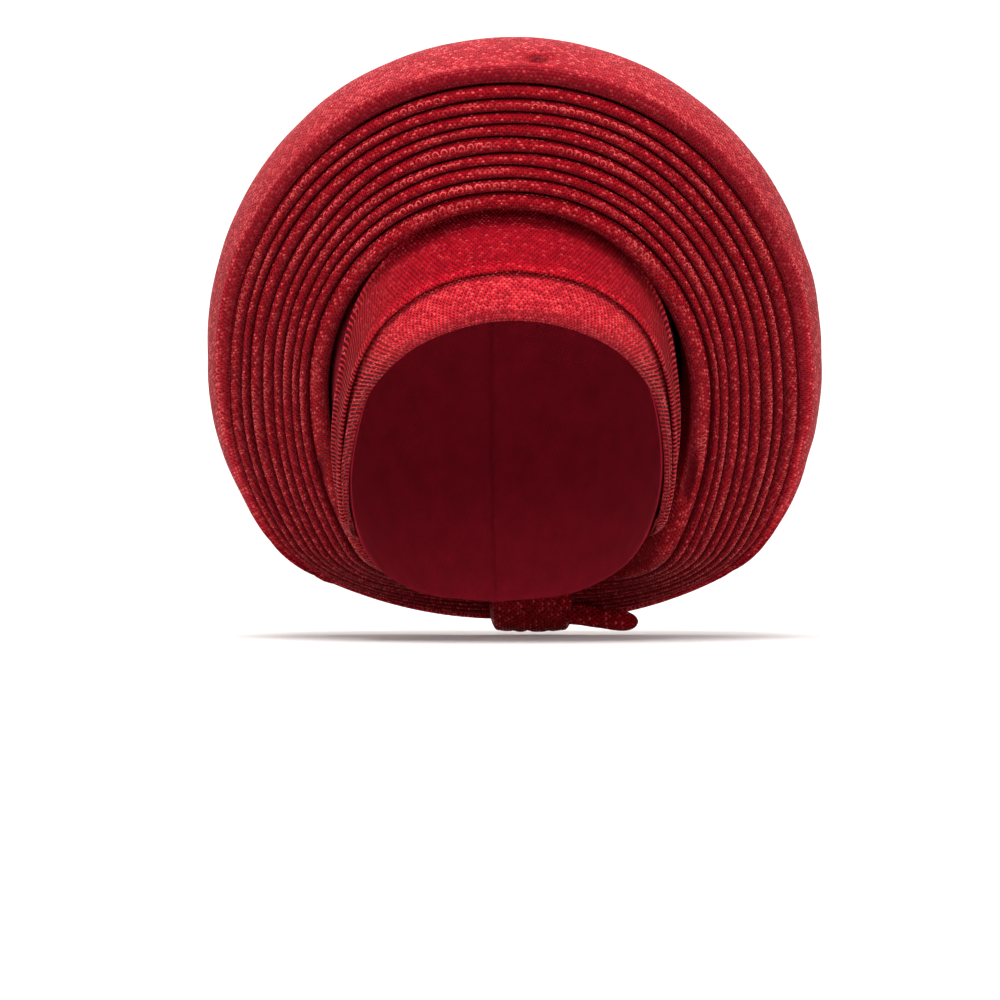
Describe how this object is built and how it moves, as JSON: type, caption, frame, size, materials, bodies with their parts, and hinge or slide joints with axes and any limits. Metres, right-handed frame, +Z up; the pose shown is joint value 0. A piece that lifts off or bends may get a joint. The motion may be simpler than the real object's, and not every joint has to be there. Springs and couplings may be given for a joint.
{
  "type": "turban",
  "caption": "Ready-made wrapped turban: close cap, two folded brow bands, a round fan of pleats with a wide rim band, and a back panel gathered to a knot at the nape.",
  "frame": {"origin": "where the crown of the head meets the inside of the cap", "axes": "+Z up, the face opening looks along -Y, +X to the wearer's left"},
  "size_m": [0.2539, 0.2081, 0.2426],
  "materials": {
    "band_cloth": "crimson openwork knit with a slight metallic glint",
    "fan_cloth": "crimson openwork knit with a slight metallic glint, in close pleats",
    "cap_cloth": "plain matt crimson jersey"
  },
  "bodies": {
    "root": {"inner_cap": "cap_cloth", "brow_band_lower": "band_cloth", "brow_band_upper": "band_cloth", "pleated_fan": "fan_cloth", "rim_band": "band_cloth", "back_panel": "fan_cloth", "nape_knot": "fan_cloth", "tucked_end": "fan_cloth"}
  },
  "joints": []
}
